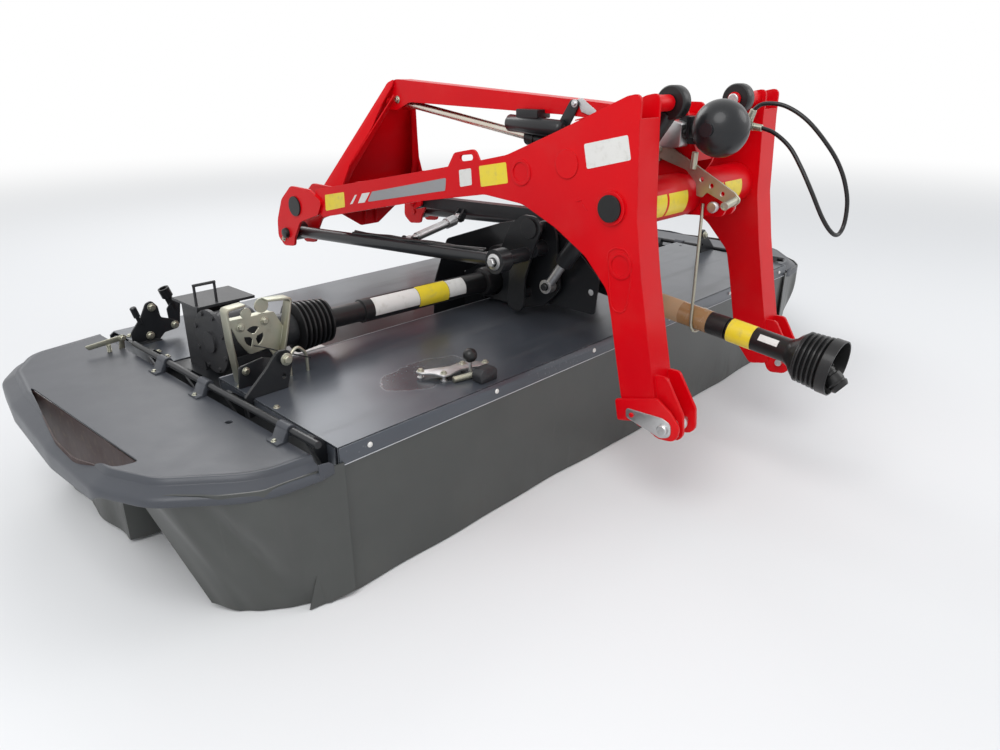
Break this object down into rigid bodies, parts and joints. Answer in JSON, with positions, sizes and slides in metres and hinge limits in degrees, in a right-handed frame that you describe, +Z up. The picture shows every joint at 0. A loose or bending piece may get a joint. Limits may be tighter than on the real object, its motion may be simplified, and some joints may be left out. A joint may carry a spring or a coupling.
{
  "type": "disc mower conditioner",
  "caption": "Front mounted disc mower conditioner pulled in a red three-point carrier frame, with folding side guards and rubber curtains.",
  "frame": {"origin": "on the ground under the middle of the machine's bounding box", "axes": "+X to the machine's right, +Y in the direction of travel, +Z up"},
  "size_m": [4.1798, 2.8765, 1.5075],
  "materials": {
    "frame_red": "gloss",
    "sheet_grey": "satin",
    "guard_grey": "satin",
    "curtain_rubber": "matte",
    "black_paint": "satin",
    "cast_grey": "satin",
    "bright_steel": "brushed",
    "zinc": "satin",
    "rod_plating": "satin",
    "black_plastic": "satin",
    "hose_rubber": "satin"
  },
  "bodies": {
    "deck": {"main_beam": "black_paint", "rear_hood": "sheet_grey", "front_hood": "sheet_grey", "end_plates": "sheet_grey", "rear_curtain": "curtain_rubber", "front_curtain": "curtain_rubber", "cutterbar": "cast_grey", "swath_boards": "black_paint", "tower": "black_paint", "shields": "black_paint", "center_gearbox": "cast_grey", "side_gearbox": "cast_grey", "gearbox_cradle": "zinc", "side_shaft": "black_plastic", "hinge_rods": "black_paint", "deck_adjuster": "cast_grey", "stow_bracket": "black_paint", "deck_fittings": "black_paint"},
    "lower_link_left": {"lower_link_left": "black_paint"},
    "lower_link_right": {"lower_link_right": "black_paint"},
    "upper_link": {"upper_link": "black_paint"},
    "stabiliser_tube": {"stabiliser_tube": "bright_steel"},
    "stabiliser_rod": {"stabiliser_rod": "bright_steel"},
    "frame": {"side_plate_left": "frame_red", "side_plate_right": "frame_red", "cross_tubes": "frame_red", "front_arch": "frame_red", "top_beam": "frame_red", "center_bracket": "frame_red", "hitch_pins": "bright_steel", "frame_caps": "black_plastic", "transport_lock": "zinc", "shaft_hook": "bright_steel", "accumulator": "black_paint", "hose": "hose_rubber"},
    "relief_barrel_left": {"relief_barrel_left": "black_paint"},
    "relief_rod_left": {"relief_rod_left": "bright_steel"},
    "relief_barrel_right": {"relief_barrel_right": "black_paint"},
    "relief_rod_right": {"relief_rod_right": "bright_steel"},
    "top_barrel": {"top_barrel": "black_paint"},
    "top_rod": {"top_rod": "rod_plating"},
    "input_shaft": {"input_shaft": "black_plastic"},
    "input_tail": {"input_tail": "black_plastic"},
    "guard_left": {"guard_left": "guard_grey", "guard_curtain_left": "curtain_rubber"},
    "guard_right": {"guard_right": "guard_grey", "guard_curtain_right": "curtain_rubber"},
    "rotor": {"rotor": "black_paint"},
    "disc_1": {"disc_1": "bright_steel"},
    "disc_2": {"disc_2": "bright_steel"},
    "disc_3": {"disc_3": "bright_steel"},
    "disc_4": {"disc_4": "bright_steel"},
    "disc_5": {"disc_5": "bright_steel"},
    "disc_6": {"disc_6": "bright_steel"},
    "disc_7": {"disc_7": "bright_steel"}
  },
  "joints": [
    {"name": "lower_link_left_swing", "type": "hinge", "parent": "deck", "child": "lower_link_left", "pos_m": [-0.44, -0.124, 0.83], "axis": [1, 0, 0], "range_deg": [-2, 6]},
    {"name": "lower_link_right_swing", "type": "hinge", "parent": "deck", "child": "lower_link_right", "pos_m": [0.44, -0.124, 0.83], "axis": [1, 0, 0], "range_deg": [-2, 6]},
    {"name": "frame_tilt", "type": "hinge", "parent": "lower_link_left", "child": "frame", "pos_m": [-0.44, 1.351, 0.752], "axis": [1, 0, 0], "range_deg": [-4.03, 1.34]},
    {"name": "upper_link_swing", "type": "hinge", "parent": "deck", "child": "upper_link", "pos_m": [0, -0.145, 0.942], "axis": [1, 0, 0], "range_deg": [-2.63, 7.89]},
    {"name": "stabiliser_swing", "type": "hinge", "parent": "upper_link", "child": "stabiliser_tube", "pos_m": [-0.044, 0.52, 0.872], "axis": [0, 1, 0], "range_deg": [-3.51, 1.17]},
    {"name": "stabiliser_stroke", "type": "slide", "parent": "stabiliser_tube", "child": "stabiliser_rod", "axis": [-0.9848, -0.0951, -0.1455], "range_m": [-0.00124, 0.00372]},
    {"name": "relief_left_swing", "type": "hinge", "parent": "frame", "child": "relief_barrel_left", "pos_m": [-0.235, -0.75, 1.447], "axis": [1, 0, 0], "range_deg": [-3.79, 1.26]},
    {"name": "relief_left_stroke", "type": "slide", "parent": "relief_barrel_left", "child": "relief_rod_left", "axis": [0, 0.5823, -0.813], "range_m": [-0.02637, 0.0791]},
    {"name": "relief_right_swing", "type": "hinge", "parent": "frame", "child": "relief_barrel_right", "pos_m": [0.235, -0.75, 1.447], "axis": [1, 0, 0], "range_deg": [-3.79, 1.26]},
    {"name": "relief_right_stroke", "type": "slide", "parent": "relief_barrel_right", "child": "relief_rod_right", "axis": [0, 0.5823, -0.813], "range_m": [-0.02637, 0.0791]},
    {"name": "top_cylinder_swing", "type": "hinge", "parent": "deck", "child": "top_barrel", "pos_m": [0, -0.19, 1.236], "axis": [1, 0, 0], "range_deg": [-2.26, 6.79]},
    {"name": "top_cylinder_stroke", "type": "slide", "parent": "top_barrel", "child": "top_rod", "axis": [0, 0.99, 0.1408], "range_m": [-0.00212, 0.00637]},
    {"name": "input_shaft_swing", "type": "hinge", "parent": "deck", "child": "input_shaft", "pos_m": [0, 0, 0.727], "axis": [1, 0, 0], "range_deg": [-5.6, 1.87]},
    {"name": "input_shaft_length", "type": "slide", "parent": "input_shaft", "child": "input_tail", "axis": [0, -0.993, -0.1177], "range_m": [0, 0.12]},
    {"name": "guard_left_fold", "type": "hinge", "parent": "deck", "child": "guard_left", "pos_m": [-1.575, 0, 0.54], "axis": [0, 1, 0], "range_deg": [0, 95]},
    {"name": "guard_right_fold", "type": "hinge", "parent": "deck", "child": "guard_right", "pos_m": [1.575, 0, 0.54], "axis": [0, -1, 0], "range_deg": [0, 95]},
    {"name": "rotor_spin", "type": "hinge", "parent": "deck", "child": "rotor", "pos_m": [0, 0.27, 0.265], "axis": [1, 0, 0], "continuous": true},
    {"name": "disc_1_spin", "type": "hinge", "parent": "deck", "child": "disc_1", "pos_m": [-1.23, 0.8, 0.1], "axis": [0, 0, 1], "continuous": true},
    {"name": "disc_2_spin", "type": "hinge", "parent": "deck", "child": "disc_2", "pos_m": [-0.82, 0.8, 0.1], "axis": [0, 0, 1], "continuous": true},
    {"name": "disc_3_spin", "type": "hinge", "parent": "deck", "child": "disc_3", "pos_m": [-0.41, 0.8, 0.1], "axis": [0, 0, 1], "continuous": true},
    {"name": "disc_4_spin", "type": "hinge", "parent": "deck", "child": "disc_4", "pos_m": [0, 0.8, 0.1], "axis": [0, 0, 1], "continuous": true},
    {"name": "disc_5_spin", "type": "hinge", "parent": "deck", "child": "disc_5", "pos_m": [0.41, 0.8, 0.1], "axis": [0, 0, 1], "continuous": true},
    {"name": "disc_6_spin", "type": "hinge", "parent": "deck", "child": "disc_6", "pos_m": [0.82, 0.8, 0.1], "axis": [0, 0, 1], "continuous": true},
    {"name": "disc_7_spin", "type": "hinge", "parent": "deck", "child": "disc_7", "pos_m": [1.23, 0.8, 0.1], "axis": [0, 0, 1], "continuous": true}
  ],
  "couplings": [
    {"joint": "lower_link_right_swing", "follows": "lower_link_left_swing", "ratio": 1},
    {"joint": "frame_tilt", "follows": "lower_link_left_swing", "ratio": -0.6711},
    {"joint": "upper_link_swing", "follows": "lower_link_left_swing", "ratio": 1.314},
    {"joint": "stabiliser_swing", "follows": "lower_link_left_swing", "ratio": -0.5844},
    {"joint": "stabiliser_stroke", "follows": "lower_link_left_swing", "m_per_rad": 0.0355},
    {"joint": "relief_left_swing", "follows": "lower_link_left_swing", "ratio": -0.6313},
    {"joint": "relief_left_stroke", "follows": "lower_link_left_swing", "m_per_rad": 0.7546},
    {"joint": "relief_right_swing", "follows": "lower_link_left_swing", "ratio": -0.6313},
    {"joint": "relief_right_stroke", "follows": "lower_link_left_swing", "m_per_rad": 0.7546},
    {"joint": "top_cylinder_swing", "follows": "lower_link_left_swing", "ratio": 1.1303},
    {"joint": "top_cylinder_stroke", "follows": "lower_link_left_swing", "m_per_rad": 0.0608},
    {"joint": "input_shaft_swing", "follows": "lower_link_left_swing", "ratio": -0.9323},
    {"joint": "disc_2_spin", "follows": "disc_1_spin", "ratio": -1},
    {"joint": "disc_3_spin", "follows": "disc_1_spin", "ratio": 1},
    {"joint": "disc_4_spin", "follows": "disc_1_spin", "ratio": -1},
    {"joint": "disc_5_spin", "follows": "disc_1_spin", "ratio": 1},
    {"joint": "disc_6_spin", "follows": "disc_1_spin", "ratio": -1},
    {"joint": "disc_7_spin", "follows": "disc_1_spin", "ratio": 1}
  ]
}
